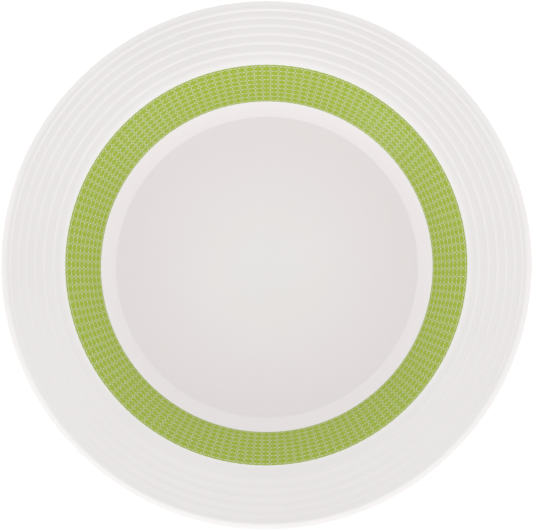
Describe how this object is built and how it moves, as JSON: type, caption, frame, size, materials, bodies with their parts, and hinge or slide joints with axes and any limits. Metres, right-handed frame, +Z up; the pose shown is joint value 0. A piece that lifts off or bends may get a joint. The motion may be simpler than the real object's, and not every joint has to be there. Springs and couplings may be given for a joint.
{
  "type": "dinner plate",
  "caption": "Round china dinner plate with a flat well, a sloping wall with a green printed band, and a wide rim with concentric rounded rings, on a foot ring.",
  "frame": {"origin": "centre of the foot ring's bearing face, where the plate stands on the table", "axes": "+Z up along the plate's axis, out of the well; the plate is round about Z, so X and Y are any two directions across it"},
  "size_m": [0.27, 0.27, 0.0257],
  "materials": {
    "porcelain": "matte",
    "glaze": "gloss",
    "green_enamel": "gloss",
    "stamp_enamel": "gloss"
  },
  "bodies": {
    "root": {"porcelain_body": "porcelain", "face_glaze": "glaze", "recess_glaze": "glaze", "band_print": "green_enamel", "backstamp": "stamp_enamel"}
  },
  "joints": []
}
